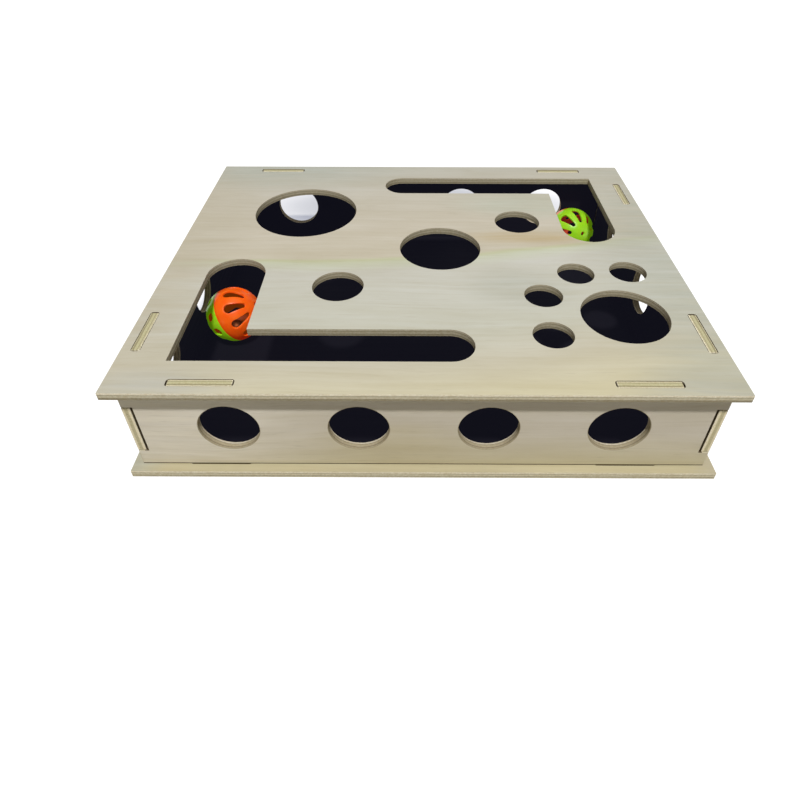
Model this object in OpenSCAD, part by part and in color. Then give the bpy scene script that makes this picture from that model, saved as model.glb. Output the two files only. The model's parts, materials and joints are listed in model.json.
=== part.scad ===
// Plywood maze box for a cat, with two slotted bell balls loose inside
// The origin is the middle of the underside: X to the right, Y to the back, Z up

/* [Box] */
// Width of the top and bottom panels, left to right
panel_w = 350; // [320:1:400]
// Depth of the top and bottom panels, front to back
panel_d = 290; // [270:1:340]
// Height of the whole box
box_h = 70; // [60:1:100]
// Thickness of the plywood
ply_t = 5; // [4:0.5:8]
// How far the top and bottom panels reach past the walls
overhang = 6; // [3:0.5:12]

/* [Joinery] */
// Length of the tabs that hold the top and bottom panels
tab_len = 35.6; // [20:0.2:45]
// From a panel's side edge to the middle of the nearest tab
tab_inset = 53; // [40:0.5:70]
// Height of the finger that locks each wall corner
finger_h = 35; // [20:0.5:45]
// Gap around each tab and finger
fit_gap = 0.3; // [0.05:0.05:0.3]
// Radius of the round corners of a mortise
mortise_corner_r = 1.8; // [1:0.1:2]
// Room in a notch beside the finger, towards the middle of the wall
notch_room = 1; // [0.2:0.1:2]

/* [L slots] */
// Width of the wide leg, through which a paw reaches a ball
wide_leg_w = 39.5; // [34:0.5:44]
// Length of the wide leg, to the end of its round
wide_leg_len = 107.5; // [80:0.5:115]
// Width of the narrow leg, through which a paw follows it
narrow_leg_w = 29; // [20:0.5:34]
// Length of the narrow leg, to the end of its round
narrow_leg_len = 176; // [120:1:185]
// From the slot's corner to the panel's side edge
slot_side_margin = 29; // [22:0.5:40]
// From the slot's corner to the panel's front or back edge, before both slots are shifted
slot_end_margin = 25; // [20:0.5:34]
// How far both slots are shifted to the back
slot_shift_back = 1.3; // [-3:0.1:3]

/* [Round holes in the top] */
// Diameter of the large hole
large_hole_d = 79; // [60:1:90]
// From the large hole's centre to the left edge
large_hole_left = 84; // [76:0.5:92]
// From the large hole's centre to the back edge
large_hole_back = 85.5; // [76:0.5:92]
// Diameter of the middle hole
middle_hole_d = 58; // [40:1:66]
// From the panel's centre to the middle hole, to the right
middle_hole_right = 13; // [0:0.5:20]
// From the panel's centre to the middle hole, to the back
middle_hole_back = 5; // [-6:0.5:12]
// Diameter of the two small holes
small_hole_d = 34; // [24:1:42]
// From the front small hole's centre to the left edge
small_hole_left = 119; // [112:0.5:126]
// From the back small hole's centre to the right edge
small_hole_right = 101.5; // [94:0.5:108]
// From each small hole's centre to the nearer front or back edge
small_hole_end = 101; // [94:0.5:108]

/* [Paw holes in the top] */
// Diameter of the paw's pad hole
pad_hole_d = 54.5; // [44:0.5:60]
// From the pad hole's centre to the right edge
pad_hole_right = 50; // [46:0.5:56]
// From the pad hole's centre to the front edge
pad_hole_front = 70; // [64:0.5:76]
// Diameter of the four toe holes
toe_hole_d = 25; // [18:0.5:30]
// From the pad hole's centre to the centre of each toe hole
toe_ring_r = 51.5; // [48:0.5:56]

/* [Holes in the walls] */
// Diameter of the round holes in the walls
wall_hole_d = 35; // [24:0.5:42]
// How far these holes sit above the middle of the wall
wall_hole_rise = 1.5; // [-4:0.5:4]
// Distance between neighbouring holes in the front and back walls
long_hole_pitch = 74.5; // [50:0.5:90]
// Distance between neighbouring holes in the side walls
side_hole_pitch = 79; // [50:0.5:100]

/* [Balls] */
// Outer diameter of a ball
ball_d = 40; // [34:0.5:44]
// Thickness of a ball's wall
ball_wall = 1.8; // [1.4:0.1:2.2]
// Half the height of the overlap where a ball's halves snap together
seam_lap = 2; // [1:0.1:2.2]
// Gap between the two halves in that overlap
seam_gap = 0.05; // [0.02:0.01:0.1]
// Number of vents around each half of a ball
vent_count = 9; // [6:1:11]
// Width of a vent near the seam
vent_wide_w = 6.6; // [3:0.1:8]
// Width of a vent near the pole
vent_narrow_w = 3.4; // [1.5:0.1:3.8]
// Latitude where a vent starts, in degrees from the seam
vent_low = 15; // [11:1:24]
// Latitude where a vent ends, in degrees from the seam
vent_high = 61; // [48:1:65]
// Diameter of the hole at each pole
pole_hole_d = 3.5; // [2:0.1:6]
// Gap under a piece that lies loose on another
rest_gap = 0.3; // [0.1:0.05:0.5]

/* [Where the balls lie] */
// From the left wall to the front ball
front_ball_side_gap = 5.2; // [0.5:0.1:12]
// From the box's centre to the front ball's centre, to the back
front_ball_back = -16.1; // [-60:0.1:40]
// Tilt of the front ball's orange pole above level, in degrees
front_ball_tilt = 28; // [-90:1:90]
// Compass turn of the front ball's orange pole, in degrees from +X
front_ball_turn = -2; // [-180:1:180]
// Spin of the front ball about its own poles, in degrees
front_ball_spin = 27.3; // [0:0.1:60]
// From the right wall to the back ball
back_ball_side_gap = 8.7; // [0.5:0.1:20]
// From the back wall to the back ball
back_ball_end_gap = 3.9; // [0.5:0.1:20]
// Tilt of the back ball's orange pole above level, in degrees
back_ball_tilt = -20; // [-90:1:90]
// Compass turn of the back ball's orange pole, in degrees from +X
back_ball_turn = 110; // [-180:1:180]
// Spin of the back ball about its own poles, in degrees
back_ball_spin = 22; // [0:0.1:60]

/* [Bells] */
// Outer diameter of the bell inside a ball
bell_d = 11; // [8:0.5:14]
// Thickness of the bell's sheet metal
bell_wall = 0.5; // [0.3:0.05:0.8]
// Lean of the bell's loop from upright, in degrees
bell_lean = 60; // [0:1:90]
// Width of the sound slots in the bell's cup
bell_slot_w = 0.9; // [0.6:0.1:1.5]
// Diameter of the round end of each sound slot
bell_slot_end_d = 2; // [1.6:0.1:2.2]
// Angle from the bottom of the cup to each round end, in degrees
bell_slot_reach = 55; // [40:1:62]
// Middle diameter of the bell's loop
bell_loop_d = 3; // [2.2:0.1:4]
// Thickness of the loop's wire
bell_wire_d = 0.8; // [0.5:0.1:1.2]
// Diameter of the steel pellet inside the bell
pellet_d = 3; // [2.4:0.1:4]

/* [Hidden] */
$fn = 96;
// Overlap that lets a cut run clean through a face
through = 1;
// How far inside its round ends a vent's straight sides start
vent_seat = 0.05;

// Angles of the toe holes around the pad, counted from the right
toe_angles = [73, 114, 156, 202];

// Outer and inner sizes of the ring of walls
walls_w = panel_w - 2 * overhang;
walls_d = panel_d - 2 * overhang;
room_w = walls_w - 2 * ply_t;
room_d = walls_d - 2 * ply_t;
wall_h = box_h - 2 * ply_t;

// Middle planes of the walls
wall_x = (walls_w - ply_t) / 2;
wall_y = (walls_d - ply_t) / 2;

// Where the tabs stand along the walls: of the left wall's, only the front one reaches through the top
long_tabs = [tab_inset - panel_w / 2, panel_w / 2 - tab_inset];
side_tabs = [tab_inset - panel_d / 2, panel_d / 2 - tab_inset];
left_top_tabs = [side_tabs[0]];

// A tab's square ends stop this far from the ends of its mortise, clear of the round corners
corner_clear = mortise_corner_r - sqrt(pow(mortise_corner_r, 2) - pow(mortise_corner_r - fit_gap, 2));
mortise_end_gap = corner_clear + fit_gap / 3;

// Holes along a wall, counted from its middle, and their height in the wall
long_hole_places = [for (step = [-1.5 : 1.5]) step * long_hole_pitch];
side_hole_places = [for (step = [-1 : 1]) step * side_hole_pitch];
wall_hole_z = wall_h / 2 + wall_hole_rise;

// Radii of a ball and its bell, and how low the loose pieces lie
ball_r = ball_d / 2;
ball_inner_r = ball_r - ball_wall;
seam_r = ball_r - ball_wall / 2;
bell_r = bell_d / 2;
bell_inner_r = bell_r - bell_wall;
pellet_r = pellet_d / 2;
ball_z = ply_t + rest_gap + ball_r;
bell_drop = ball_inner_r - bell_r - rest_gap;
pellet_drop = bell_inner_r - pellet_r - rest_gap;

// Vents are cut along the line out of the ball through the middle of each vent
vent_mid = (vent_low + vent_high) / 2;
vent_reach = ball_r * sin((vent_high - vent_low) / 2);
vent_wide_x = vent_reach - vent_wide_w / 2;
vent_narrow_x = vent_narrow_w / 2 - vent_reach;
vent_taper = asin((vent_wide_w - vent_narrow_w) / 2 / (vent_wide_x - vent_narrow_x));

// Centres of the two balls
front_ball = [ball_r + front_ball_side_gap - room_w / 2, front_ball_back, ball_z];
back_ball = [room_w / 2 - ball_r - back_ball_side_gap, room_d / 2 - ball_r - back_ball_end_gap, ball_z];

ply_colour = "#d9d0b8";
orange = "#ff5a0f";
green = "#97dc1c";
brass = "#d8b34a";
steel = "#b8bcc0";

// Joinery outlines

// A slot with round corners for one tab
module mortise_outline() {
    flat_w = ply_t + 2 * fit_gap - 2 * mortise_corner_r;
    flat_len = tab_len + 2 * mortise_end_gap - 2 * mortise_corner_r;
    square([flat_len, flat_w + 2 * mortise_corner_r], center = true);
    square([flat_len + 2 * mortise_corner_r, flat_w], center = true);
    for (x = [-1, 1], y = [-1, 1]) translate([x * flat_len / 2, y * flat_w / 2]) circle(mortise_corner_r);
}

// The mortises of the top or the bottom panel, one for each tab
module mortises_outline(left_tabs) {
    for (x = long_tabs, y = [-wall_y, wall_y]) translate([x, y]) mortise_outline();
    for (y = left_tabs) translate([-wall_x, y]) rotate(90) mortise_outline();
    for (y = side_tabs) translate([wall_x, y]) rotate(90) mortise_outline();
}

// A wall's plain rectangle with tabs below and above
module tabbed_outline(length, bottom_tabs, top_tabs) {
    translate([-length / 2, 0]) square([length, wall_h]);
    for (place = bottom_tabs) translate([place - tab_len / 2, -ply_t]) square([tab_len, 2 * ply_t]);
    for (place = top_tabs) translate([place - tab_len / 2, wall_h - ply_t]) square([tab_len, 2 * ply_t]);
}

module wall_holes_outline(places) {
    for (place = places) translate([place, wall_hole_z]) circle(d = wall_hole_d);
}

// Front and back walls run the full width and are notched at both ends
module long_wall_outline() {
    notch_h = finger_h + 2 * fit_gap;
    difference() {
        tabbed_outline(walls_w, long_tabs, long_tabs);
        wall_holes_outline(long_hole_places);
        for (side = [-1, 1]) translate([side * walls_w / 2, wall_h / 2])
            square([2 * (ply_t + notch_room), notch_h], center = true);
    }
}

// Side walls fit between them, with a finger at each end through the notch
module side_wall_outline(top_tabs) {
    difference() {
        union() {
            tabbed_outline(room_d, side_tabs, top_tabs);
            translate([0, wall_h / 2]) square([walls_d, finger_h], center = true);
        }
        wall_holes_outline(side_hole_places);
    }
}

// Holes in the top panel

// An L with its sharp corner at the origin, the wide leg along Y and the narrow one along X
module l_slot_outline() {
    square([wide_leg_w, wide_leg_len - wide_leg_w / 2]);
    translate([wide_leg_w / 2, wide_leg_len - wide_leg_w / 2]) circle(d = wide_leg_w);
    square([narrow_leg_len - narrow_leg_w / 2, narrow_leg_w]);
    translate([narrow_leg_len - narrow_leg_w / 2, narrow_leg_w / 2]) circle(d = narrow_leg_w);
}

module l_slots_outline() {
    translate([0, slot_shift_back]) for (turn = [0, 180]) rotate(turn)
        translate([slot_side_margin - panel_w / 2, slot_end_margin - panel_d / 2]) l_slot_outline();
}

module round_holes_outline() {
    translate([large_hole_left - panel_w / 2, panel_d / 2 - large_hole_back]) circle(d = large_hole_d);
    translate([middle_hole_right, middle_hole_back]) circle(d = middle_hole_d);
    translate([small_hole_left - panel_w / 2, small_hole_end - panel_d / 2]) circle(d = small_hole_d);
    translate([panel_w / 2 - small_hole_right, panel_d / 2 - small_hole_end]) circle(d = small_hole_d);
}

module paw_outline() {
    translate([panel_w / 2 - pad_hole_right, pad_hole_front - panel_d / 2]) {
        circle(d = pad_hole_d);
        for (angle = toe_angles) rotate(angle) translate([toe_ring_r, 0]) circle(d = toe_hole_d);
    }
}

// Panels and walls

module bottom_panel() {
    color(ply_colour) linear_extrude(ply_t) difference() {
        square([panel_w, panel_d], center = true);
        mortises_outline(side_tabs);
    }
}

module top_panel() {
    color(ply_colour) translate([0, 0, box_h - ply_t]) linear_extrude(ply_t) difference() {
        square([panel_w, panel_d], center = true);
        mortises_outline(left_top_tabs);
        l_slots_outline();
        round_holes_outline();
        paw_outline();
    }
}

// Stands an outline up as a wall that is centred on the origin and faces the front
module standing() {
    color(ply_colour) translate([0, ply_t / 2, ply_t]) rotate([90, 0, 0]) linear_extrude(ply_t) children();
}

module front_wall() {
    translate([0, -wall_y, 0]) standing() long_wall_outline();
}

module back_wall() {
    translate([0, wall_y, 0]) standing() long_wall_outline();
}

module left_wall() {
    translate([-wall_x, 0, 0]) rotate(90) standing() side_wall_outline(left_top_tabs);
}

module right_wall() {
    translate([wall_x, 0, 0]) rotate(90) standing() side_wall_outline(side_tabs);
}

// Balls, drawn about their own centre with the orange pole up

// A vent's outline in its own plane: wide end towards +X, which is towards the seam
module vent_outline() {
    wide_r = vent_wide_w / 2;
    narrow_r = vent_narrow_w / 2;
    wide_touch = [vent_wide_x - wide_r * sin(vent_taper), wide_r * cos(vent_taper) - vent_seat];
    narrow_touch = [vent_narrow_x - narrow_r * sin(vent_taper), narrow_r * cos(vent_taper) - vent_seat];
    translate([vent_wide_x, 0]) circle(wide_r);
    translate([vent_narrow_x, 0]) circle(narrow_r);
    polygon([
        wide_touch, narrow_touch, [vent_narrow_x, 0],
        [narrow_touch.x, -narrow_touch.y], [wide_touch.x, -wide_touch.y], [vent_wide_x, 0]
    ]);
}

// The vents and pole hole of a half
module half_cuts() {
    for (step = [0 : vent_count - 1]) rotate([0, 90 - vent_mid, step * 360 / vent_count])
        translate([0, 0, ball_inner_r / 2]) linear_extrude(ball_r) vent_outline();
    cylinder(d = pole_hole_d, h = ball_r + through);
}

// Everything above a height, as wide as the ball
module above(height) {
    translate([-ball_d, -ball_d, height]) cube(2 * ball_d);
}

// The half with the lip, pole up, reaches past the equator on the outside
module lip_half_shape() {
    difference() {
        intersection() {
            sphere(ball_r);
            above(-seam_lap);
        }
        sphere(ball_inner_r);
        difference() {
            sphere(seam_r + seam_gap / 2);
            above(seam_lap);
        }
        half_cuts();
    }
}

// The half with the spigot, pole up, reaches past the equator inside that lip
module spigot_half_shape() {
    difference() {
        union() {
            intersection() {
                sphere(ball_r);
                above(seam_lap);
            }
            intersection() {
                sphere(seam_r - seam_gap / 2);
                above(-seam_lap);
            }
        }
        sphere(ball_inner_r);
        half_cuts();
    }
}

module pole_down() {
    rotate([180, 0, 0]) children();
}

module front_ball_place() {
    translate(front_ball) rotate([0, 90 - front_ball_tilt, front_ball_turn])
        rotate(front_ball_spin) children();
}

module back_ball_place() {
    translate(back_ball) rotate([0, 90 - back_ball_tilt, back_ball_turn])
        rotate(back_ball_spin) children();
}

// Either colour can have the lip: the front ball's is orange and the back ball's is green
module front_ball_orange_half() {
    color(orange) front_ball_place() lip_half_shape();
}

module front_ball_green_half() {
    color(green) front_ball_place() pole_down() spigot_half_shape();
}

module back_ball_orange_half() {
    color(orange) back_ball_place() spigot_half_shape();
}

module back_ball_green_half() {
    color(green) back_ball_place() pole_down() lip_half_shape();
}

// Bells, drawn about their own centre with the loop up

// The upper half of the bell, with the wire loop standing on it
module bell_crown_shape() {
    difference() {
        union() {
            intersection() {
                sphere(bell_r);
                above(0);
            }
            translate([0, 0, bell_r + bell_loop_d / 2 - bell_wire_d / 2]) rotate([90, 0, 0])
                rotate_extrude() translate([bell_loop_d / 2, 0]) circle(d = bell_wire_d);
        }
        sphere(bell_inner_r);
    }
}

// The lower half of the bell, with two crossed sound slots
module bell_cup_shape() {
    slot_len = 2 * bell_r * sin(bell_slot_reach);
    difference() {
        sphere(bell_r);
        above(0);
        sphere(bell_inner_r);
        for (turn = [0, 90]) rotate(turn) {
            translate([0, 0, -bell_r]) cube([slot_len, bell_slot_w, bell_d], center = true);
            for (side = [-1, 1]) rotate([0, 180 + side * bell_slot_reach, 0])
                cylinder(d = bell_slot_end_d, h = bell_d);
        }
    }
}

module bell_place(ball) {
    translate(ball - [0, 0, bell_drop]) children();
}

module front_bell_crown() {
    color(brass) bell_place(front_ball) rotate([bell_lean, 0, 0]) bell_crown_shape();
}

module front_bell_cup() {
    color(brass) bell_place(front_ball) rotate([bell_lean, 0, 0]) bell_cup_shape();
}

module front_bell_pellet() {
    color(steel) bell_place(front_ball) translate([0, 0, -pellet_drop]) sphere(pellet_r);
}

module back_bell_crown() {
    color(brass) bell_place(back_ball) rotate([0, -bell_lean, 0]) bell_crown_shape();
}

module back_bell_cup() {
    color(brass) bell_place(back_ball) rotate([0, -bell_lean, 0]) bell_cup_shape();
}

module back_bell_pellet() {
    color(steel) bell_place(back_ball) translate([0, 0, -pellet_drop]) sphere(pellet_r);
}

bottom_panel();
front_wall();
back_wall();
left_wall();
right_wall();
top_panel();
front_ball_orange_half();
front_ball_green_half();
front_bell_crown();
front_bell_cup();
front_bell_pellet();
back_ball_orange_half();
back_ball_green_half();
back_bell_crown();
back_bell_cup();
back_bell_pellet();
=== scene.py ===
# %% [markdown]
# # A plywood maze box for a cat
# The box is six boards of thin plywood, locked by tabs and fingers, with two slotted bell balls loose inside.
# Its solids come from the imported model, which stays fixed as the frame.
# Every piece made here rides on one of the frame's bodies, in metres and in the same axes:
# X to the right, Y to the back, Z up.

# %% Load the frame
import json
import math

import bmesh
import bpy
from mathutils import Matrix, Vector


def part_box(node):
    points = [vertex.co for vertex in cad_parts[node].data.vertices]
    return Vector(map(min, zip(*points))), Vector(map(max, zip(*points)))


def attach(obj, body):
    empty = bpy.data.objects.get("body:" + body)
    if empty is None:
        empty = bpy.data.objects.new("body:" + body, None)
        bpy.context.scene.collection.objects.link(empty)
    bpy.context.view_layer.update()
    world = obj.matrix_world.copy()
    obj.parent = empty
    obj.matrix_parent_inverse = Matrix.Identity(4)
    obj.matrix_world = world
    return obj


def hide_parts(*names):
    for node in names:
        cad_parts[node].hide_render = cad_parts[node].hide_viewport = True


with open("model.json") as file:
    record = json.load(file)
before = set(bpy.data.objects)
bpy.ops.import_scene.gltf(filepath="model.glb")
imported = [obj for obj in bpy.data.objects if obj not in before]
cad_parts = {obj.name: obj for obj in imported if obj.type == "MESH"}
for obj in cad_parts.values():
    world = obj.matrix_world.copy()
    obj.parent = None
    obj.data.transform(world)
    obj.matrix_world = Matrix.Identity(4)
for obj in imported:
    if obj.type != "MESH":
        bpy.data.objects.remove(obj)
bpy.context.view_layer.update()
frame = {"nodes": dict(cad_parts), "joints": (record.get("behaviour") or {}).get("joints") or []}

MM = 0.001

# %% [markdown]
# ## Colours and nodes
# A colour is written as it looks on a screen, and shaders want it linear, so one function turns the one into
# the other. Materials are built from nodes, and one function adds a node, fills its sockets and links them.

# %% Helpers for every material
def linear(hex_code):
    """The linear colour of a screen colour such as #d0c8b0."""
    channels = [int(hex_code[start:start + 2], 16) / 255 for start in (1, 3, 5)]
    return (*[c / 12.92 if c <= 0.04045 else ((c + 0.055) / 1.055) ** 2.4 for c in channels], 1)


def add_node(tree, kind, sockets=None, stops=(), **settings):
    """Adds a node. sockets holds values or other nodes' outputs, stops the colours of a ramp."""
    node = tree.nodes.new("ShaderNode" + kind)
    for name, value in settings.items():
        setattr(node, name, value)
    for socket, value in (sockets or {}).items():
        if isinstance(value, bpy.types.NodeSocket):
            tree.links.new(value, node.inputs[socket])
        else:
            node.inputs[socket].default_value = value
    for number, (position, hex_code) in enumerate(stops):
        ramp = node.color_ramp.elements
        stop = ramp[number] if number < 2 else ramp.new(position)
        stop.position = position
        stop.color = linear(hex_code)
    return node


def new_material(name, **constants):
    """A material with a Principled shader whose plain values are set on its own sockets."""
    material = bpy.data.materials.new(name)
    material.use_nodes = True
    surface = material.node_tree.nodes["Principled BSDF"]
    for socket, value in constants.items():
        surface.inputs[socket.replace("_", " ")].default_value = value
    return material, material.node_tree, surface


# The sockets of a Mix node that mixes colours
MIX_A, MIX_B, MIX_OUT = 6, 7, 2
print("Colour and node helpers are ready")

# %% [markdown]
# ## The camera
# The photographer stood in front of the box and looked down at it. The place, the tilt and the lens were
# found by fitting the edges and holes of the part to the picture. The picture's optical centre isn't in the
# middle of its frame, and the small shift stands for that.

# %% Camera
FRAME_PX = 800
FOCAL_PX = 607.85
OPTICAL_CENTRE_PX = (410.90, 332.81)
SENSOR_MM = 36
EYE_MM = Vector((-6.94, -375.03, 298.09))
PITCH, YAW, ROLL = math.radians(38.9485), math.radians(0.1508), math.radians(0.1173)
SIGHT_FROM, SIGHT_TO = 0.01, 50


def turned(angle, axis):
    """The matrix of a turn about one axis."""
    return Matrix.Rotation(angle, 4, axis)


lens = bpy.data.cameras.new("photo_camera")
lens.sensor_width = SENSOR_MM
lens.lens = FOCAL_PX / FRAME_PX * SENSOR_MM
lens.shift_x = (FRAME_PX / 2 - OPTICAL_CENTRE_PX[0]) / FRAME_PX
lens.shift_y = (OPTICAL_CENTRE_PX[1] - FRAME_PX / 2) / FRAME_PX
lens.clip_start = SIGHT_FROM
lens.clip_end = SIGHT_TO
camera = bpy.data.objects.new("photo_camera", lens)
bpy.context.scene.collection.objects.link(camera)
bpy.context.scene.camera = camera
aim = turned(YAW, "Z") @ turned(math.pi / 2 - PITCH, "X") @ turned(ROLL, "Z")
camera.matrix_world = Matrix.Translation(EYE_MM * MM) @ aim
print("The lens is", round(lens.lens, 2), "mm")

# %% [markdown]
# ## Light and background
# One lamp hangs above the box, in front of it and a little to the right. The top board's edge throws a band
# of shadow about 12 mm down the front wall, which gives the lamp's height, and the band's firm edge says that
# the lamp is small for its distance. Soft light comes from behind the box and very little from the front, and
# the white paper below throws light back up. The background is pure white to the eye only, so it adds no
# light.

# %% Surroundings
scene = bpy.context.scene
scene.view_settings.view_transform = "Standard"
FILL_FRONT, FILL_BEHIND = 0.08, 0.75
world = bpy.data.worlds.new("soft_studio")
scene.world = world
world.use_nodes = True
sky = world.node_tree
sky.nodes.clear()


def add_seen_mask(tree):
    """1 where a thing is looked at, straight, in a gloss or through glass, and 0 where it only lights."""
    path = add_node(tree, "LightPath")
    straight = add_node(tree, "Math", {0: path.outputs["Is Camera Ray"], 1: path.outputs["Is Glossy Ray"]},
                        operation="MAXIMUM")
    return add_node(tree, "Math", {0: straight.outputs[0], 1: path.outputs["Is Transmission Ray"]},
                    operation="MAXIMUM").outputs[0]


# A large soft light stands behind the box, so the strength grows with the direction's share of Y
direction = add_node(sky, "SeparateXYZ", {0: add_node(sky, "TexCoord").outputs["Generated"]})
strength = add_node(sky, "MapRange", {0: direction.outputs["Y"], 1: 0, 2: 1, 3: FILL_FRONT, 4: FILL_BEHIND})
fill = add_node(sky, "Background", {"Color": linear("#fcf8f2"), "Strength": strength.outputs[0]})
white = add_node(sky, "Background", {"Color": linear("#ffffff"), "Strength": 1})
seen = add_node(sky, "MixShader", {0: add_seen_mask(sky), 1: fill.outputs[0], 2: white.outputs[0]})
add_node(sky, "OutputWorld", {"Surface": seen.outputs[0]})
print("The surroundings light the box at", FILL_FRONT, "from the front and", FILL_BEHIND, "from behind")

# %% Floor
FLOOR_SIDE = 8
FLOOR_DROP = 0.2 * MM
OPEN_FROM, OPEN_TO = 0.25, 0.7
SHADE_AT, SHADE_REACH = (0, 0.205, 0), (0.20, 0.068, 1)
SHADE_NONE, SHADE_FULL = 1.05, 0.5
paper, tree, surface = new_material("white_paper_floor", Base_Color=linear("#aaa79c"), Roughness=0.9)
# The lamp lights the paper to about half, and a glow adds what it lacks to be white, so a shadow still shows.
# Close behind the box the glow is weaker and a little bluer, a painted soft shadow.
place = add_node(tree, "TexCoord").outputs["Object"]
away = add_node(tree, "VectorMath", {0: place}, operation="LENGTH").outputs["Value"]
open_share = add_node(tree, "MapRange", {0: away, 1: OPEN_FROM, 2: OPEN_TO})
glow = add_node(tree, "Mix", {0: open_share.outputs[0], MIX_A: linear("#dcdfe8"), MIX_B: linear("#ffffff")},
                data_type="RGBA")
behind = add_node(tree, "VectorMath", {0: place, 1: SHADE_AT}, operation="SUBTRACT")
scaled = add_node(tree, "VectorMath", {0: behind.outputs[0], 1: SHADE_REACH}, operation="DIVIDE")
reach = add_node(tree, "VectorMath", {0: scaled.outputs[0]}, operation="LENGTH").outputs["Value"]
shade = add_node(tree, "MapRange", {0: reach, 1: SHADE_NONE, 2: SHADE_FULL}, interpolation_type="SMOOTHSTEP")
glow = add_node(tree, "Mix", {0: shade.outputs[0], MIX_A: glow.outputs[MIX_OUT], MIX_B: linear("#7e869e")},
                data_type="RGBA")
shine = add_node(tree, "Emission", {"Color": glow.outputs[MIX_OUT], "Strength": add_seen_mask(tree)})
look = add_node(tree, "AddShader", {0: surface.outputs[0], 1: shine.outputs[0]})
tree.links.new(look.outputs[0], tree.nodes["Material Output"].inputs["Surface"])

bm = bmesh.new()
bmesh.ops.create_grid(bm, x_segments=1, y_segments=1, size=FLOOR_SIDE / 2)
bmesh.ops.translate(bm, verts=bm.verts, vec=(0, 0, -FLOOR_DROP))
floor_mesh = bpy.data.meshes.new("studio_floor")
bm.to_mesh(floor_mesh)
bm.free()
floor = bpy.data.objects.new("studio_floor", floor_mesh)
floor_mesh.materials.append(paper)
scene.collection.objects.link(floor)
print("The floor lies", FLOOR_DROP / MM, "mm under the box")

# %% Lamp
LAMP_WATTS = 58
LAMP_SIZE = 0.18
LAMP_FROM = Vector((0.10, -1.10, 2.25))
bulb = bpy.data.lights.new("lamp", "AREA")
bulb.shape = "DISK"
bulb.energy = LAMP_WATTS
bulb.size = LAMP_SIZE
lamp = bpy.data.objects.new("lamp", bulb)
lamp.location = LAMP_FROM
lamp.rotation_euler = (-LAMP_FROM).to_track_quat("-Z", "Y").to_euler()
scene.collection.objects.link(lamp)
print("The lamp hangs", round(LAMP_FROM.length, 2), "m away")

# %% [markdown]
# ## Plywood
# The boards are cut from sheets of three-ply basswood. Thin face veneers show long, faint bands and streaks
# along the grain, and a cut edge shows the core between two dark glue lines. A picture of wood would have to
# be stretched over each board. Instead every point of a board remembers where on its sheet it was cut from,
# in millimetres along the grain, across it and through the thickness, and the wood is drawn from that.

# %% Grain of the veneer
SHEET = "sheet"
# Length along the grain and width across it of each kind of mark, in mm
DRIFT, BREAK, MOTTLE, STREAK = (190, 55), (70, 5), (60, 14), (170, 3.1)
RING, PORE, FIBRE = (110, 1.5), (16, 0.9), (40, 1.1)
MARK_DEPTH_MM = 10


def add_grain(tree, place, mark, detail):
    """Noise whose blots have about the length and width of a mark."""
    scale = (1 / mark[0], 1 / mark[1], 1 / MARK_DEPTH_MM)
    stretch = add_node(tree, "VectorMath", {0: place, 1: scale}, operation="MULTIPLY")
    noise = add_node(tree, "TexNoise", {
        "Vector": stretch.outputs[0], "Scale": 1, "Detail": detail, "Roughness": 0.55})
    return noise.outputs["Fac"]


print("The grain wanders over", DRIFT[0], "mm, and its fibres are", FIBRE[1], "mm wide")

# %% A sanded veneer
DRIFT_REACH_MM = 4
FIBRE_DEPTH = 0.05 * MM
# Most of a noise lies between the first two values, and rings and pores show only at its peaks
NOISE_LOW, NOISE_HIGH = 0.3, 0.7
RING_FROM, RING_TO, RING_SHADE = 0.62, 0.76, 0.26
PORE_FROM, PORE_TO, PORE_SHADE = 0.60, 0.74, 0.2
# A patch is full up to its heart and gone at its edge, in shares of its reach, and the grain thins it
PATCH_EDGE, PATCH_HEART, PATCH_LEAST = 1.1, 0.2, 0.45
MARK_SHARE = 0.8
# Roughness of the sanded face and of a pore
SANDED, OPEN_PORE = 0.58, 0.72


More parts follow.
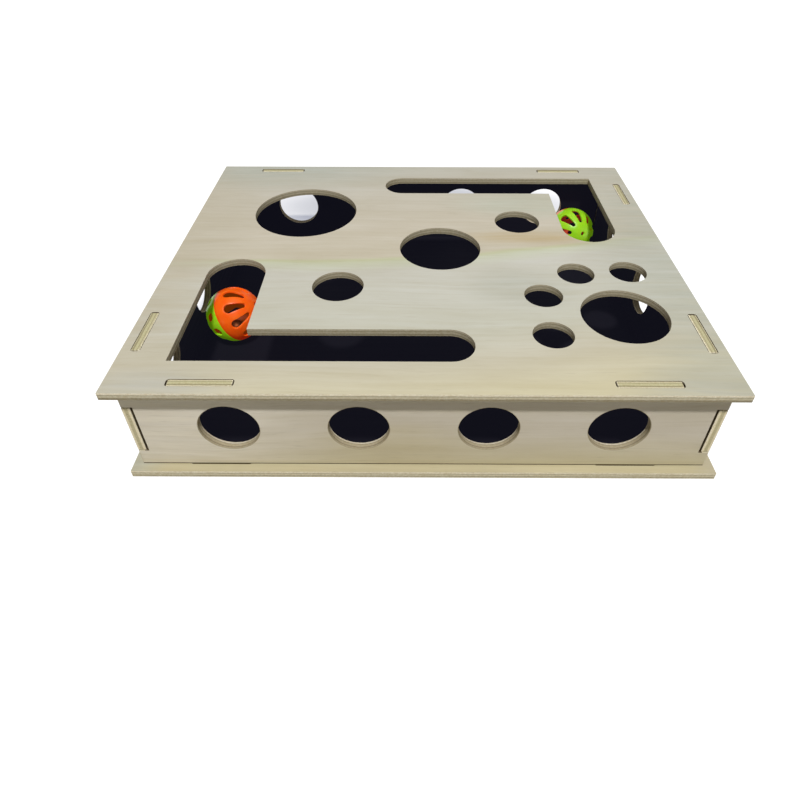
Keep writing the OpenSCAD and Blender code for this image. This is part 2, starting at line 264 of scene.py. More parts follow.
def basswood_veneer(name, bands, patches, slant=0, bow=0):
    """Sanded veneer. bands gives its colour at places across the grain, patches are warmer or paler spots."""
    material, tree, surface = new_material(name, IOR=1.5, Specular_IOR_Level=0.3)
    sheet = add_node(tree, "Attribute", attribute_name=SHEET).outputs["Vector"]
    # The grain wanders by a few millimetres over the length of a board
    drift = add_node(tree, "MapRange", {
        0: add_grain(tree, sheet, DRIFT, 2), 1: NOISE_LOW, 2: NOISE_HIGH,
        3: -DRIFT_REACH_MM, 4: DRIFT_REACH_MM})
    wander = add_node(tree, "CombineXYZ", {"Y": drift.outputs[0]})
    place = add_node(tree, "VectorMath", {0: sheet, 1: wander.outputs[0]}, operation="ADD").outputs[0]
    axes = add_node(tree, "SeparateXYZ", {0: place})
    along, level = axes.outputs["X"], axes.outputs["Y"]
    slope = add_node(tree, "Math", {0: along, 1: -bow, 2: -slant}, operation="MULTIPLY_ADD")
    across = add_node(tree, "Math", {0: along, 1: slope.outputs[0], 2: level}, operation="MULTIPLY_ADD")
    first, last = bands[0][0], bands[-1][0]
    share = add_node(tree, "MapRange", {0: across.outputs[0], 1: first, 2: last})
    stops = [((mm - first) / (last - first), hex_code) for mm, hex_code in bands]
    tone = add_node(tree, "ValToRGB", {0: share.outputs[0]}, stops=stops).outputs[0]
    # Patches have soft borders that are broken up by the grain
    breaks = add_node(tree, "MapRange", {
        0: add_grain(tree, place, BREAK, 3), 1: NOISE_LOW, 2: NOISE_HIGH, 3: PATCH_LEAST, 4: 1})
    for (along_mm, across_mm), (reach_along, reach_across), hex_code in patches:
        offset = add_node(tree, "VectorMath", {0: place, 1: (along_mm, across_mm, 0)}, operation="SUBTRACT")
        scale = (1 / reach_along, 1 / reach_across, 0)
        scaled = add_node(tree, "VectorMath", {0: offset.outputs[0], 1: scale}, operation="MULTIPLY")
        reach = add_node(tree, "VectorMath", {0: scaled.outputs[0]}, operation="LENGTH").outputs["Value"]
        near = add_node(tree, "MapRange", {0: reach, 1: PATCH_EDGE, 2: PATCH_HEART},
                        interpolation_type="SMOOTHSTEP")
        broken = add_node(tree, "Math", {0: near.outputs[0], 1: breaks.outputs[0]}, operation="MULTIPLY")
        tone = add_node(tree, "Mix", {0: broken.outputs[0], MIX_A: tone, MIX_B: linear(hex_code)},
                        data_type="RGBA").outputs[MIX_OUT]
    # The wood is mottled softly and streaked by growth rings, and here and there a darker ring stands out
    for mark, shade_hex in ((MOTTLE, "#f3f1eb"), (STREAK, "#f7f5ee")):
        shades = add_node(tree, "ValToRGB", {0: add_grain(tree, place, mark, 4)},
                          stops=[(0.32, shade_hex), (0.68, "#ffffff")])
        tone = add_node(tree, "Mix", {0: MARK_SHARE, MIX_A: tone, MIX_B: shades.outputs[0]},
                        data_type="RGBA", blend_type="MULTIPLY").outputs[MIX_OUT]
    rings = add_node(tree, "MapRange", {
        0: add_grain(tree, place, RING, 3), 1: RING_FROM, 2: RING_TO, 4: RING_SHADE})
    ringed = add_node(tree, "Mix", {0: rings.outputs[0], MIX_A: tone, MIX_B: linear("#a59a7e")},
                      data_type="RGBA").outputs[MIX_OUT]
    # Pores are finer than a pixel, so they are drawn about 1 mm wide
    pores = add_node(tree, "MapRange", {0: add_grain(tree, place, PORE, 2), 1: PORE_FROM, 2: PORE_TO})
    faint = add_node(tree, "Math", {0: pores.outputs[0], 1: PORE_SHADE}, operation="MULTIPLY")
    pored = add_node(tree, "Mix", {0: faint.outputs[0], MIX_A: ringed, MIX_B: linear("#a0937a")},
                     data_type="RGBA")
    tree.links.new(pored.outputs[MIX_OUT], surface.inputs["Base Color"])
    dull = add_node(tree, "MapRange", {0: pores.outputs[0], 3: SANDED, 4: OPEN_PORE})
    tree.links.new(dull.outputs[0], surface.inputs["Roughness"])
    fibres = add_grain(tree, place, FIBRE, 3)
    bump = add_node(tree, "Bump", {"Strength": 0.12, "Distance": FIBRE_DEPTH, "Height": fibres})
    tree.links.new(bump.outputs[0], surface.inputs["Normal"])
    return material


print("A veneer's roughness lies between", SANDED, "and", OPEN_PORE)

# %% The three veneers
# The top's veneer is spliced from two leaves along a slightly bowed line, greyer in front and pinker behind
# The darker patches along its left and right ends are painted shade, where the light falls off to the sides
top_veneer = basswood_veneer(
    "basswood_veneer_top",
    [(-150, "#c9c2a5"), (-120, "#c3beac"), (-88, "#c2c2b6"), (-22, "#c4c3ba"), (-12, "#c2c5b0"),
     (-9, "#bcbe9d"), (-6, "#c4bdac"), (40, "#c5beaf"), (90, "#c2bdb0"), (150, "#bcbbb1")],
    [((82, 20), (72, 15), "#bcab89"), ((-178, 0), (62, 260), "#bcb5a3"), ((182, -20), (76, 280), "#b3b5aa"),
     ((-120, 150), (120, 60), "#b1b5ac"), ((90, 75), (80, 28), "#bcbfb1"), ((62, -42), (44, 30), "#b7b8ae"),
     ((-150, -146), (50, 24), "#b8b7ae"), ((160, -146), (60, 30), "#b0b0a4")],
    slant=0.108, bow=0.00042)
# On the front wall the pale patch at its left end is painted light
wall_veneer = basswood_veneer(
    "basswood_veneer_wall",
    [(0, "#d3caa6"), (16, "#d5ccb4"), (34, "#d5cdbf"), (70, "#d1c9ba")],
    [((-18, 22), (60, 20), "#cec3a4"), ((-160, 35), (120, 60), "#f2ebdd")])
base_veneer = basswood_veneer(
    "basswood_veneer_base",
    [(-150, "#b9b091"), (-60, "#c0b89a"), (60, "#c8c0a8"), (150, "#c4bb9c")],
    [((-176, -125), (24, 60), "#b0b1a4"), ((178, -125), (20, 60), "#bdb5a0"),
     ((95, -146), (70, 14), "#c4bb9c")])
print("Veneers:", top_veneer.name, wall_veneer.name, base_veneer.name)

# %% [markdown]
# A cut edge is rougher than the face. Its layers are drawn by depth: a face veneer, a glue line under it, the
# core, another glue line and the back veneer. Outer edges are sawn and sanded, so they stay pale, and the
# ends of tabs have tones of their own. The top board's outer edges are darker in their lower veneer, painted
# shade under the edge, and the ends of fingers are pale end grain pushed almost to white, a painted
# highlight.
# The rims of holes and slots are routed and a little browner. In the narrow mortises and notches the hot
# cutter has scorched the wood, which draws a dark line round every joint. The same dark finish along the
# walls' feet is painted shade where a wall stands on the base.

# %% Cut edges of the plywood
PLY_MM = 5
WAVER_MM = 0.15
WAVES_PER_MM, FIBRES_PER_MM, SPECKS_PER_MM = 0.09, 0.9, 0.16
SPECK_FROM, SPECK_TO, SPECK_SHADE = 0.69, 0.75, 0.6
SAW_DEPTH = 0.1 * MM


def plywood_cut_edge(name, face_hex, core_hex, glue_hex, back_hex):
    """The edge of a three-ply sheet, with its layers, glue lines and voids."""
    material, tree, surface = new_material(name, IOR=1.5, Specular_IOR_Level=0.2, Roughness=0.8)
    sheet = add_node(tree, "Attribute", attribute_name=SHEET).outputs["Vector"]
    through = add_node(tree, "SeparateXYZ", {0: sheet}).outputs["Z"]
    waver = add_node(tree, "TexNoise", {"Vector": sheet, "Scale": WAVES_PER_MM, "Detail": 2})
    waved = add_node(tree, "MapRange", {
        0: waver.outputs["Fac"], 1: NOISE_LOW, 2: NOISE_HIGH, 3: -WAVER_MM, 4: WAVER_MM})
    level = add_node(tree, "Math", {0: through, 1: waved.outputs[0]}, operation="ADD")
    share = add_node(tree, "MapRange", {0: level.outputs[0], 1: -PLY_MM / 2, 2: PLY_MM / 2})
    layers = add_node(tree, "ValToRGB", {0: share.outputs[0]}, stops=[
        (0.18, back_hex), (0.23, glue_hex), (0.28, glue_hex), (0.34, core_hex),
        (0.64, core_hex), (0.68, glue_hex), (0.71, glue_hex), (0.76, face_hex)])
    # Fibres of the core, drawn about 1 mm thick so that they show
    fibres = add_node(tree, "TexNoise", {
        "Vector": sheet, "Scale": FIBRES_PER_MM, "Detail": 3, "Roughness": 0.6})
    shade = add_node(tree, "ValToRGB", {0: fibres.outputs["Fac"]},
                     stops=[(NOISE_LOW, "#e6dfd0"), (NOISE_HIGH, "#ffffff")])
    rough = add_node(tree, "Mix", {0: 1, MIX_A: layers.outputs[0], MIX_B: shade.outputs[0]},
                     data_type="RGBA", blend_type="MULTIPLY")
    # Voids and scorched specks
    specks = add_node(tree, "TexNoise", {
        "Vector": sheet, "Scale": SPECKS_PER_MM, "Detail": 3, "Roughness": 0.7})
    gap = add_node(tree, "MapRange", {0: specks.outputs["Fac"], 1: SPECK_FROM, 2: SPECK_TO, 4: SPECK_SHADE})
    marked = add_node(tree, "Mix", {
        0: gap.outputs[0], MIX_A: rough.outputs[MIX_OUT], MIX_B: linear("#6b5c45")}, data_type="RGBA")
    tree.links.new(marked.outputs[MIX_OUT], surface.inputs["Base Color"])
    bump = add_node(tree, "Bump", {"Strength": 0.5, "Distance": SAW_DEPTH, "Height": fibres.outputs["Fac"]})
    tree.links.new(bump.outputs[0], surface.inputs["Normal"])
    return material


sawn_edge = plywood_cut_edge("plywood_sawn_edge", "#fbf4de", "#e2dbc2", "#a39a80", "#dcd5bc")
# The top board's edges are pale above and dark in their lower veneer, painted shade under the edge
top_edge = plywood_cut_edge("plywood_top_edge", "#fdf6e2", "#d6cfb8", "#9c937c", "#a29a84")
tab_end = plywood_cut_edge("plywood_tab_end", "#c8c2a2", "#c2be9a", "#989174", "#aaa485")
# The fingers' ends are pale end grain, pushed almost to white as a painted highlight
finger_end = plywood_cut_edge("plywood_finger_end", "#fff6dc", "#d0c8a6", "#eee4c4", "#fff6dc")
routed_rim = plywood_cut_edge("plywood_routed_rim", "#d4ccb4", "#c6bea5", "#978e77", "#b2aa92")
wall_rim = plywood_cut_edge("plywood_wall_rim", "#d2cab6", "#b4a98f", "#8a8069", "#a99f86")
# The scorched finish is real in the joints and painted shade along the walls' feet
scorched_joint_and_foot_shade = plywood_cut_edge("plywood_scorched_joint", "#6e614a", "#665942", "#4a3f2d", "#5b4f3a")
for edge in (sawn_edge, top_edge, tab_end, finger_end, routed_rim, wall_rim, scorched_joint_and_foot_shade):
    print("Cut edge:", edge.name)

# %% [markdown]
# The inside of the box is stained black, so that the balls stand out in the dark. Stain sinks into the wood,
# so it stays matt and the grain shows faintly as a change of gloss.
# A faint bluish glow on the stain is painted light that lifts its darkest parts.

# %% Black stain of the inside
STAIN_STREAK = (90, 2.5)


def black_wood_stain_and_painted_glow():
    """Matt black stain on bare veneer, with a faint glow of painted light."""
    # The faint bluish glow set here is painted light
    material, tree, surface = new_material(
        "black_wood_stain_and_painted_glow", IOR=1.45, Specular_IOR_Level=0.08,
        Emission_Color=linear("#5f5f80"), Emission_Strength=0.04)
    sheet = add_node(tree, "Attribute", attribute_name=SHEET).outputs["Vector"]
    streaks = add_grain(tree, sheet, STAIN_STREAK, 4)
    tone = add_node(tree, "ValToRGB", {0: streaks}, stops=[(NOISE_LOW, "#09080d"), (NOISE_HIGH, "#0e0d12")])
    tree.links.new(tone.outputs[0], surface.inputs["Base Color"])
    dull = add_node(tree, "MapRange", {0: streaks, 1: NOISE_LOW, 2: NOISE_HIGH, 3: 0.72, 4: 0.88})
    tree.links.new(dull.outputs[0], surface.inputs["Roughness"])
    bump = add_node(tree, "Bump", {"Strength": 0.3, "Distance": FIBRE_DEPTH, "Height": streaks})
    tree.links.new(bump.outputs[0], surface.inputs["Normal"])
    return material


stain = black_wood_stain_and_painted_glow()
print("Inside:", stain.name)

# %% [markdown]
# ## Boards
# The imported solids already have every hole, tab and mortise, so each board starts as a copy of its solid
# rather than being drawn again. A copy's loose triangles are merged into whole faces, and every arris is
# eased a little, as sandpaper leaves it, so that the edges catch the light. Faces then get the veneer, the
# cut edge or the stain.

# %% The room inside the box
ROOM_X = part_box("right_wall")[0].x
ROOM_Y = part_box("back_wall")[0].y
FLOOR_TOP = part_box("bottom_panel")[1].z
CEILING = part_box("top_panel")[0].z
# The stain reaches this far past the room's sides, and the painted shade at a wall's foot this far up
STAIN_REACH, FOOT = 1 * MM, 0.9 * MM
ROOM_LOW = Vector((-ROOM_X, -ROOM_Y, FLOOR_TOP)) - Vector((1, 1, 1)) * STAIN_REACH
ROOM_HIGH = Vector((ROOM_X, ROOM_Y, CEILING)) + Vector((1, 1, 1)) * STAIN_REACH
print("The stain fills", [round(side / MM, 1) for side in ROOM_HIGH - ROOM_LOW], "mm")

# %% From a solid to a piece
MERGE = 0.001 * MM
FLAT_ANGLE = math.radians(0.5)


def merged_copy(node_name):
    """A bmesh of a CAD node with its loose triangles joined into whole faces."""
    bm = bmesh.new()
    bm.from_mesh(frame["nodes"][node_name].data)
    bmesh.ops.remove_doubles(bm, verts=bm.verts, dist=MERGE)
    bmesh.ops.dissolve_limit(bm, angle_limit=FLAT_ANGLE, verts=bm.verts, edges=bm.edges)
    return bm


def finish_piece(bm, piece_name, body, replaced, materials, smooth_angle):
    """Turns a bmesh into a piece that rides on a body and stands for a CAD node."""
    mesh = bpy.data.meshes.new(piece_name)
    bm.to_mesh(mesh)
    bm.free()
    mesh.shade_smooth()
    mesh.set_sharp_from_angle(angle=smooth_angle)
    for material in materials:
        mesh.materials.append(material)
    piece = bpy.data.objects.new(piece_name, mesh)
    scene.collection.objects.link(piece)
    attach(piece, body)
    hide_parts(replaced)
    return piece


print("Corners closer than", MERGE / MM, "mm are merged")

# %% Finish of each face
EASE = 0.45 * MM
# A face counts as facing the room, or as square to a direction, from these shares of that direction on
INWARD, SQUARE = 0.6, 0.95
# Closer to a board's border than the first, a cut face is an outer edge. Up to the second it is in a joint,
# and further in it is the rim of a hole
JOINT_FROM, JOINT_TO = 4.5 * MM, 12 * MM
# The scorched finish also stands for painted shade along a wall's foot
FINISHES = ("veneer", "sawn", "routed", "tab", "finger", "scorched", "stained")
VENEER, SAWN, ROUTED, TAB, FINGER, SCORCHED_AND_FOOT_SHADE, STAINED = range(len(FINISHES))


def face_finish(face, inward, grain, box):
    """Which finish a face of a board has, by the way it faces and how far it is from the board's edges."""
    facing = face.normal.dot(inward)
    middle = face.calc_center_median()
    if facing > INWARD:
        if all(low < here < high for low, here, high in zip(ROOM_LOW, middle, ROOM_HIGH)):
            return STAINED
        return VENEER if inward.z else SCORCHED_AND_FOOT_SHADE
    # A strip along a wall's foot takes the scorched finish as painted shade where the wall stands on the base
    if not inward.z and FLOOR_TOP < middle.z < FLOOR_TOP + FOOT:
        return SCORCHED_AND_FOOT_SHADE
    if facing < -SQUARE:
        return VENEER
    low, high = box
    if not inward.z and face.normal.z > SQUARE and middle.z > high.z - EASE:
        return TAB
    if inward.x and abs(face.normal.y) > SQUARE and abs(middle.y) > high.y - EASE:
        return FINGER
    margin = min(min((middle - low).dot(axis), (high - middle).dot(axis)) for axis in grain[:2])
    if margin < JOINT_FROM:
        return SAWN
    return SCORCHED_AND_FOOT_SHADE if margin < JOINT_TO else ROUTED


print("A board's faces are", ", ".join(FINISHES))

# %% The six boards
X, Y, Z = Vector((1, 0, 0)), Vector((0, 1, 0)), Vector((0, 0, 1))
ARRIS_ANGLE, BOARD_SMOOTH = math.radians(40), math.radians(15)


def make_board(piece_name, node_name, body, veneer, edges, grain, inward, cut_from_mm):
    """A board. grain gives the directions along, across and through the sheet, inward the one to the room."""
    bm = merged_copy(node_name)
    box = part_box(node_name)
    arrises = [edge for edge in bm.edges if edge.is_manifold and edge.calc_face_angle() > ARRIS_ANGLE]
    bmesh.ops.bevel(bm, geom=arrises, offset=EASE, affect="EDGES", segments=2, profile=0.5, material=-1,
                    clamp_overlap=True)
    # The stain ends just outside the room and the painted shade a little above a wall's foot, so faces are
    # cut there
    cuts = [(corner, side) for corner in (ROOM_LOW, ROOM_HIGH) for side in (X, Y, Z) if not inward.dot(side)]
    if not inward.z:
        cuts.append((Z * (FLOOR_TOP + FOOT), Z))
    for corner, side in cuts:
        everything = bm.verts[:] + bm.edges[:] + bm.faces[:]
        bmesh.ops.bisect_plane(bm, geom=everything, plane_co=corner, plane_no=side)
    bm.normal_update()
    for face in bm.faces:
        face.material_index = face_finish(face, inward, grain, box)
    piece = finish_piece(bm, piece_name, body, node_name,
                         [veneer, *edges, tab_end, finger_end, scorched_joint_and_foot_shade, stain], BOARD_SMOOTH)
    core = (box[0] + box[1]) / 2
    sheet = piece.data.attributes.new(SHEET, "FLOAT_VECTOR", "POINT")
    for vertex, place in zip(piece.data.vertices, sheet.data):
        along, across = vertex.co.dot(grain[0]) / MM, vertex.co.dot(grain[1]) / MM
        through = (vertex.co - core).dot(grain[2]) / MM
        place.vector = (along + cut_from_mm, across, through)
    print(piece_name, "has", len(piece.data.polygons), "faces and", len(arrises), "eased edges")


box_edges, top_edges = (sawn_edge, wall_rim), (top_edge, routed_rim)
make_board("bottom_board", "bottom_panel", "box", base_veneer, box_edges, (X, Y, Z), Z, 0)
make_board("front_board", "front_wall", "box", wall_veneer, box_edges, (X, Z, Y), Y, 0)
make_board("back_board", "back_wall", "box", wall_veneer, box_edges, (X, Z, -Y), -Y, 2000)
make_board("left_board", "left_wall", "box", wall_veneer, box_edges, (Y, Z, X), X, 3000)
make_board("right_board", "right_wall", "box", wall_veneer, box_edges, (Y, Z, -X), -X, 4000)
make_board("top_board", "top_panel", "top", top_veneer, top_edges, (X, Y, Z), -Z, 0)

# %% [markdown]
# ## Ball plastic
# The balls are moulded in polypropylene, coloured right through. Light that enters the thin walls keeps the
# shaded side bright, and a faint glow of painted light in both plastics adds more of their colour there. The
# mould leaves very shallow flow marks that bend the highlights. Inside, where little light comes, the core
# side of the mould leaves a matt lining, whose deeper colour is painted shade, with a fainter glow of painted
# light.
# The green lining is painted red-brown, as the light that falls on it has come in through the orange half.

# %% Orange and green polypropylene
FLOW_MARK_MM = 6
FLOW_DEPTH = 0.1 * MM


def polypropylene(name, hex_code, deep_hex_code, **surface_values):
    """Moulded plastic, slightly deeper in colour along its flow marks."""
    material, tree, surface = new_material(name, IOR=1.49, **surface_values)
    place = add_node(tree, "TexCoord").outputs["Object"]
    flow = add_node(tree, "TexNoise", {"Vector": place, "Scale": 1 / (FLOW_MARK_MM * MM), "Detail": 2})
    tone = add_node(tree, "ValToRGB", {0: flow.outputs["Fac"]},
                    stops=[(NOISE_LOW, deep_hex_code), (NOISE_HIGH, hex_code)])
    tree.links.new(tone.outputs[0], surface.inputs["Base Color"])
    bump = add_node(tree, "Bump", {"Strength": 0.15, "Distance": FLOW_DEPTH, "Height": flow.outputs["Fac"]})
    tree.links.new(bump.outputs[0], surface.inputs["Normal"])
    return material


SKIN = dict(Roughness=0.32, Specular_IOR_Level=0.35, Subsurface_Weight=0.2, Subsurface_Scale=1.5 * MM)
LINING = dict(Roughness=0.6, Specular_IOR_Level=0.2)
# Both skins carry a glow, painted light that keeps their shaded sides bright
orange_plastic_painted_glow = polypropylene("orange_polypropylene", "#f26c16", "#ee6010", **SKIN,
                               Emission_Color=linear("#ff3c00"), Emission_Strength=0.17)
green_plastic_painted_glow = polypropylene("green_polypropylene", "#96ce26", "#8cc61e", **SKIN,
                              Emission_Color=linear("#8fd000"), Emission_Strength=0.22)
# The linings are darker than the skins as painted shade, with a faint glow of painted light, and the green
# one is painted red-brown for light that came in through the orange half
orange_lining_painted_light = polypropylene("orange_polypropylene_lining_painted_light", "#b53a14", "#a23210", **LINING,
                              Emission_Color=linear("#ff6551"), Emission_Strength=0.08)
green_lining_painted_light = polypropylene("green_polypropylene_lining_painted_light", "#59120a", "#501008", **LINING,
                             Emission_Color=linear("#ff7616"), Emission_Strength=0.12)
print("Plastics:", orange_plastic_painted_glow.name, green_plastic_painted_glow.name, orange_lining_painted_light.name, green_lining_painted_light.name)

# %% [markdown]
# ## Balls
# A ball is two half shells that snap together, each with nine tapered vents and a small hole at its pole. One
# vent and the strip of shell around it is a ninth of a half, so that is modelled once: a ring of edges in the
# shape of the vent is pulled out to the strip's border, laid on the sphere and spun round. Extruding the
# sheet inwards gives the wall, and easing the rims gives the soft edges that a mould leaves.

# %% One vent and its strip of shell
# Lengths of a ball are in mm, up to where it is laid in the box
BALL_R, BALL_WALL, SEAM_LAP = 20, 1.8, 2
INNER_R = BALL_R - BALL_WALL
VENTS, VENT_LOW, VENT_HIGH = 9, math.radians(15), math.radians(61)
WIDE_R, NARROW_R, POLE_HOLE_R = 3.3, 1.7, 1.75
VENT_STEPS, RIB_CUTS = 40, 2
CLOSE = 0.01
VENT_MID = (VENT_LOW + VENT_HIGH) / 2
VENT_REACH = BALL_R * math.sin((VENT_HIGH - VENT_LOW) / 2)
WIDE_AT, NARROW_AT = VENT_REACH - WIDE_R, NARROW_R - VENT_REACH
TAPER = math.asin((WIDE_R - NARROW_R) / (WIDE_AT - NARROW_AT))
SEAM_LATITUDE = math.asin(SEAM_LAP / BALL_R)
POLE_LATITUDE = math.acos(POLE_HOLE_R / BALL_R)


def vent_half_width(down):
    """Half the width of a vent, this far from its middle towards the seam."""
    wide_end = WIDE_AT - WIDE_R * math.sin(TAPER)
    narrow_end = NARROW_AT - NARROW_R * math.sin(TAPER)
    if down >= wide_end:
        return math.sqrt(max(0, WIDE_R ** 2 - (down - WIDE_AT) ** 2))
    if down <= narrow_end:
        return math.sqrt(max(0, NARROW_R ** 2 - (down - NARROW_AT) ** 2))
    return NARROW_R * math.cos(TAPER) + (down - narrow_end) * math.tan(TAPER)


def vent_rim(angle):
    """A point of the vent's rim on the ball, counted from the end near the seam."""
    down = VENT_REACH * math.cos(angle)
    east = math.copysign(vent_half_width(down), math.sin(angle))
    out = math.sqrt(BALL_R ** 2 - down ** 2 - east ** 2)
    level, rise = math.cos(VENT_MID), math.sin(VENT_MID)
    return Vector((out * level + down * rise, east, out * rise - down * level))


def strip_border(angle):
    """The point of the strip's border in that direction: the seam, a neighbouring strip or the pole hole."""
    reach = max(abs(math.cos(angle)), abs(math.sin(angle)))
    longitude = math.pi / VENTS * math.sin(angle) / reach
    middle, half = (POLE_LATITUDE + SEAM_LATITUDE) / 2, (POLE_LATITUDE - SEAM_LATITUDE) / 2
    latitude = middle - half * math.cos(angle) / reach
    level = BALL_R * math.cos(latitude)
    return Vector((level * math.cos(longitude), level * math.sin(longitude), BALL_R * math.sin(latitude)))


def vented_cap():
    """The outer skin of a half ball, from its seam to its pole hole, as a bmesh in millimetres."""
    bm = bmesh.new()
    rim = bmesh.ops.create_circle(bm, segments=VENT_STEPS, radius=1)["verts"]
    pulled = bmesh.ops.extrude_edge_only(bm, edges=bm.edges[:])["geom"]
    border = [item for item in pulled if isinstance(item, bmesh.types.BMVert)]
    rungs = [edge for edge in bm.edges if (edge.verts[0] in rim) != (edge.verts[1] in rim)]
    for vertex in rim:
        vertex.co = vent_rim(math.atan2(vertex.co.y, vertex.co.x))
    for vertex in border:
        vertex.co = strip_border(math.atan2(vertex.co.y, vertex.co.x))
    bmesh.ops.subdivide_edges(bm, edges=rungs, cuts=RIB_CUTS, use_grid_fill=True)
    for vertex in bm.verts:
        vertex.co = vertex.co.normalized() * BALL_R
    strip = bm.verts[:] + bm.edges[:] + bm.faces[:]
    bmesh.ops.spin(bm, geom=strip, cent=(0, 0, 0), axis=Z, angle=math.tau * (1 - 1 / VENTS), steps=VENTS - 1,
                   use_duplicate=True)
    bmesh.ops.remove_doubles(bm, verts=bm.verts, dist=CLOSE)
    return bm


print("A vent is", round(2 * VENT_REACH, 1), "mm long and", 2 * WIDE_R, "mm wide")

# %% Wall and seam of a half ball
RIM_EASE, SEAM_EASE, SEAM_PLAY = 0.45, 0.22, 0.04
SPLIT_R = BALL_R - BALL_WALL / 2
SEAM_BAND = 0.1


def level_radius(vertex):
    """How far a point is from the ball's axis."""
    return math.hypot(vertex.co.x, vertex.co.y)


def lies_on_seam(item):
    """Whether an edge or face lies flat where the lap starts."""
    return all(abs(vertex.co.z - SEAM_LAP) < CLOSE for vertex in item.verts)


def put_on(vertex, sphere_r, height):
    """Moves a point straight to a height on a sphere, at the same longitude."""
    scale = math.sqrt(sphere_r ** 2 - height ** 2) / level_radius(vertex)
    vertex.co = (vertex.co.x * scale, vertex.co.y * scale, height)


def half_shell(outer_lip):
    """A half ball, pole up. Its seam ends in an outer lip or in a spigot that fits inside the other's lip."""
    bm = vented_cap()
    skin = bm.verts[:] + bm.edges[:] + bm.faces[:]
    lining = bmesh.ops.extrude_face_region(bm, geom=skin, use_keep_orig=True)["geom"]
    inner = [item for item in lining if isinstance(item, bmesh.types.BMVert)]
    bmesh.ops.scale(bm, verts=inner, vec=Vector((1, 1, 1)) * (INNER_R / BALL_R))
    for vertex in inner:
        if vertex.co.z < SEAM_LAP - CLOSE / 5:
            put_on(vertex, INNER_R, SEAM_LAP)
    # The flat rim of the seam is split into an outer and an inner ring, and one of them is drawn out
    flat = [edge for edge in bm.edges if lies_on_seam(edge)]
    spokes = [edge for edge in flat
              if abs(level_radius(edge.verts[0]) - level_radius(edge.verts[1])) > BALL_WALL / 2]
    bmesh.ops.subdivide_edges(bm, edges=spokes, cuts=1, use_grid_fill=True)
    ring = [face for face in bm.faces if lies_on_seam(face)]
    lap = [face for face in ring if (face.calc_center_median().xy.length > SPLIT_R - SEAM_BAND) == outer_lip]
    free_r = BALL_R if outer_lip else INNER_R
    for height in (0, -SEAM_LAP):
        drawn = bmesh.ops.extrude_face_region(bm, geom=lap)["geom"]
        lap = [item for item in drawn if isinstance(item, bmesh.types.BMFace)]
        for vertex in (item for item in drawn if isinstance(item, bmesh.types.BMVert)):
            on_split = abs(level_radius(vertex) - SPLIT_R) < BALL_WALL / 4
            play = SEAM_PLAY if outer_lip else -SEAM_PLAY
            put_on(vertex, SPLIT_R + play if on_split else free_r, height)
    bmesh.ops.remove_doubles(bm, verts=bm.verts, dist=CLOSE / 10)
    bmesh.ops.recalc_face_normals(bm, faces=bm.faces)
    sharp = [edge for edge in bm.edges if edge.is_manifold and edge.calc_face_angle() > ARRIS_ANGLE]
    rims = [edge for edge in sharp if all(v.co.z > SEAM_LAP + SEAM_BAND for v in edge.verts)]
    skin_edges = [edge for edge in sharp if all(v.co.length > BALL_R - CLOSE for v in edge.verts)]
    seam = [edge for edge in skin_edges if all(v.co.z < SEAM_LAP + SEAM_BAND for v in edge.verts)]
    bmesh.ops.bevel(bm, geom=rims, offset=RIM_EASE, affect="EDGES", segments=3, profile=0.5, material=-1,
                    clamp_overlap=True)
    seam = [edge for edge in seam if edge.is_valid]
    bmesh.ops.bevel(bm, geom=seam, offset=SEAM_EASE, affect="EDGES", segments=2, profile=0.5, material=-1,
                    clamp_overlap=True)
    # Faces of the inner wall take the lining, whose darker colour is painted shade
    for face in bm.faces:
        face.material_index = int(face.calc_center_median().length < INNER_R + RIM_EASE / 2)
    return bm


print("The halves overlap by", 2 * SEAM_LAP, "mm")

# %% [markdown]
# The front ball lies with its orange pole to the right and a little up. The back ball shows its green half to
# the front, with the orange half behind it. Each is laid about its own centre, which is the pin of its roll
# joint.

# %% Lay the balls in the box
JOINTS = {joint["name"]: joint for joint in frame["joints"]}
BALL_SMOOTH = math.radians(35)
PLASTICS = {"orange": [orange_plastic_painted_glow, orange_lining_painted_light], "green": [green_plastic_painted_glow, green_lining_painted_light]}


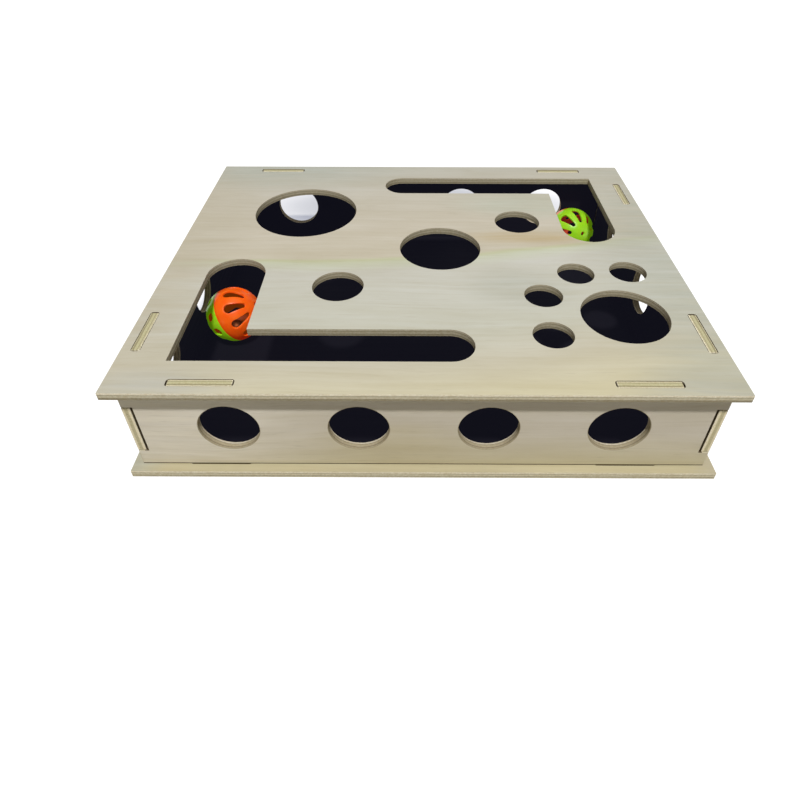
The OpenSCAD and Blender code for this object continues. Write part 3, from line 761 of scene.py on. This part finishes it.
def make_ball(name, lip_colour, tilt, turn, spin):
    """Both halves of a ball. tilt and turn aim the orange pole and spin turns it on its axis, in degrees."""
    centre = Vector(JOINTS[name + "_ball_roll"]["pos_m"])
    lie = turned(math.radians(turn), "Z") @ turned(math.radians(90 - tilt), "Y")
    place = Matrix.Translation(centre) @ lie @ turned(math.radians(spin), "Z") @ Matrix.Scale(MM, 4)
    for colour, plastics in PLASTICS.items():
        bm = half_shell(outer_lip=colour == lip_colour)
        if colour == "green":
            bm.transform(turned(math.pi, "X"))
        bm.transform(place)
        node_name = f"{name}_ball_{colour}_half"
        piece = finish_piece(bm, f"{name}_{colour}_shell", name + "_ball", node_name,
                             plastics, BALL_SMOOTH)
        print(piece.name, "has", len(piece.data.polygons), "faces")


make_ball("front", "orange", tilt=28, turn=-2, spin=27.3)
make_ball("back", "green", tilt=-20, turn=110, spin=22)

# %% [markdown]
# ## Bells
# Inside each ball lies a jingle bell, pressed from thin brass sheet, with a bright steel pellet in it. The
# bell's dull red-brown is painted shade, dark as the inside of the ball. Their solids are right as they are,
# so they keep their meshes and only get a finish.

# %% Brass and steel
BELL_BLOT_MM, TUMBLE_MM = 3, 0.8
BLOT_FROM, BLOT_TO = 0.35, 0.75


def blotted_metal(name, hex_code, dull_hex_code, blot_mm, smooth, worn):
    """Bare metal with soft blots that are duller than the rest."""
    material, tree, surface = new_material(name, Metallic=1)
    place = add_node(tree, "TexCoord").outputs["Object"]
    noise = add_node(tree, "TexNoise", {"Vector": place, "Scale": 1 / (blot_mm * MM), "Detail": 3})
    blots = noise.outputs["Fac"]
    tone = add_node(tree, "ValToRGB", {0: blots}, stops=[(BLOT_FROM, hex_code), (BLOT_TO, dull_hex_code)])
    tree.links.new(tone.outputs[0], surface.inputs["Base Color"])
    dull = add_node(tree, "MapRange", {0: blots, 1: BLOT_FROM, 2: BLOT_TO, 3: smooth, 4: worn})
    tree.links.new(dull.outputs[0], surface.inputs["Roughness"])
    return material


# The bell's dull red-brown is painted shade
bell_brass = blotted_metal("tarnished_brass_bell", "#7a4228", "#57301c", BELL_BLOT_MM, 0.5, 0.65)
pellet_steel = blotted_metal("tumbled_steel_pellet", "#c9cbcd", "#a7a9ab", TUMBLE_MM, 0.16, 0.3)
for node_name, node in frame["nodes"].items():
    if "_bell_" in node_name:
        node.data.materials.clear()
        node.data.materials.append(pellet_steel if node_name.endswith("pellet") else bell_brass)
        print(node_name, "is finished in", node.data.materials[0].name)
